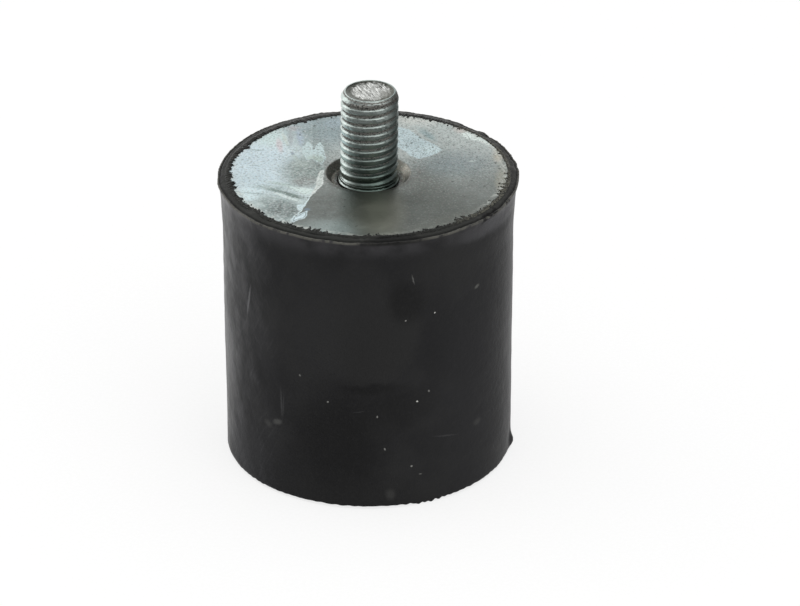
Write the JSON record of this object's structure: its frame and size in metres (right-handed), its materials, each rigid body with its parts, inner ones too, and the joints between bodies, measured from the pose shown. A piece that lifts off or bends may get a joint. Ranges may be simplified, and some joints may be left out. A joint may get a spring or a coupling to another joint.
{
  "type": "bobbin vibration mount",
  "caption": "Round rubber bobbin mount bonded between steel plates, with a threaded stud on top and a blind tapped bush in its base.",
  "frame": {"origin": "centre of the base plate's outer face, on the mount's axis", "axes": "+Z along the axis from the base plate to the stud's tip; +X towards the small nib of flash at the foot"},
  "size_m": [0.0498, 0.0498, 0.065],
  "materials": {
    "rubber": "moulded, matt black",
    "plate_steel": "bright zinc plated",
    "stud_steel": "bright zinc plated, rolled thread"
  },
  "bodies": {
    "root": {"rubber_body": "rubber", "top_plate": "plate_steel", "threaded_stud": "stud_steel", "base_plate": "plate_steel", "threaded_bush": "stud_steel"}
  },
  "joints": []
}
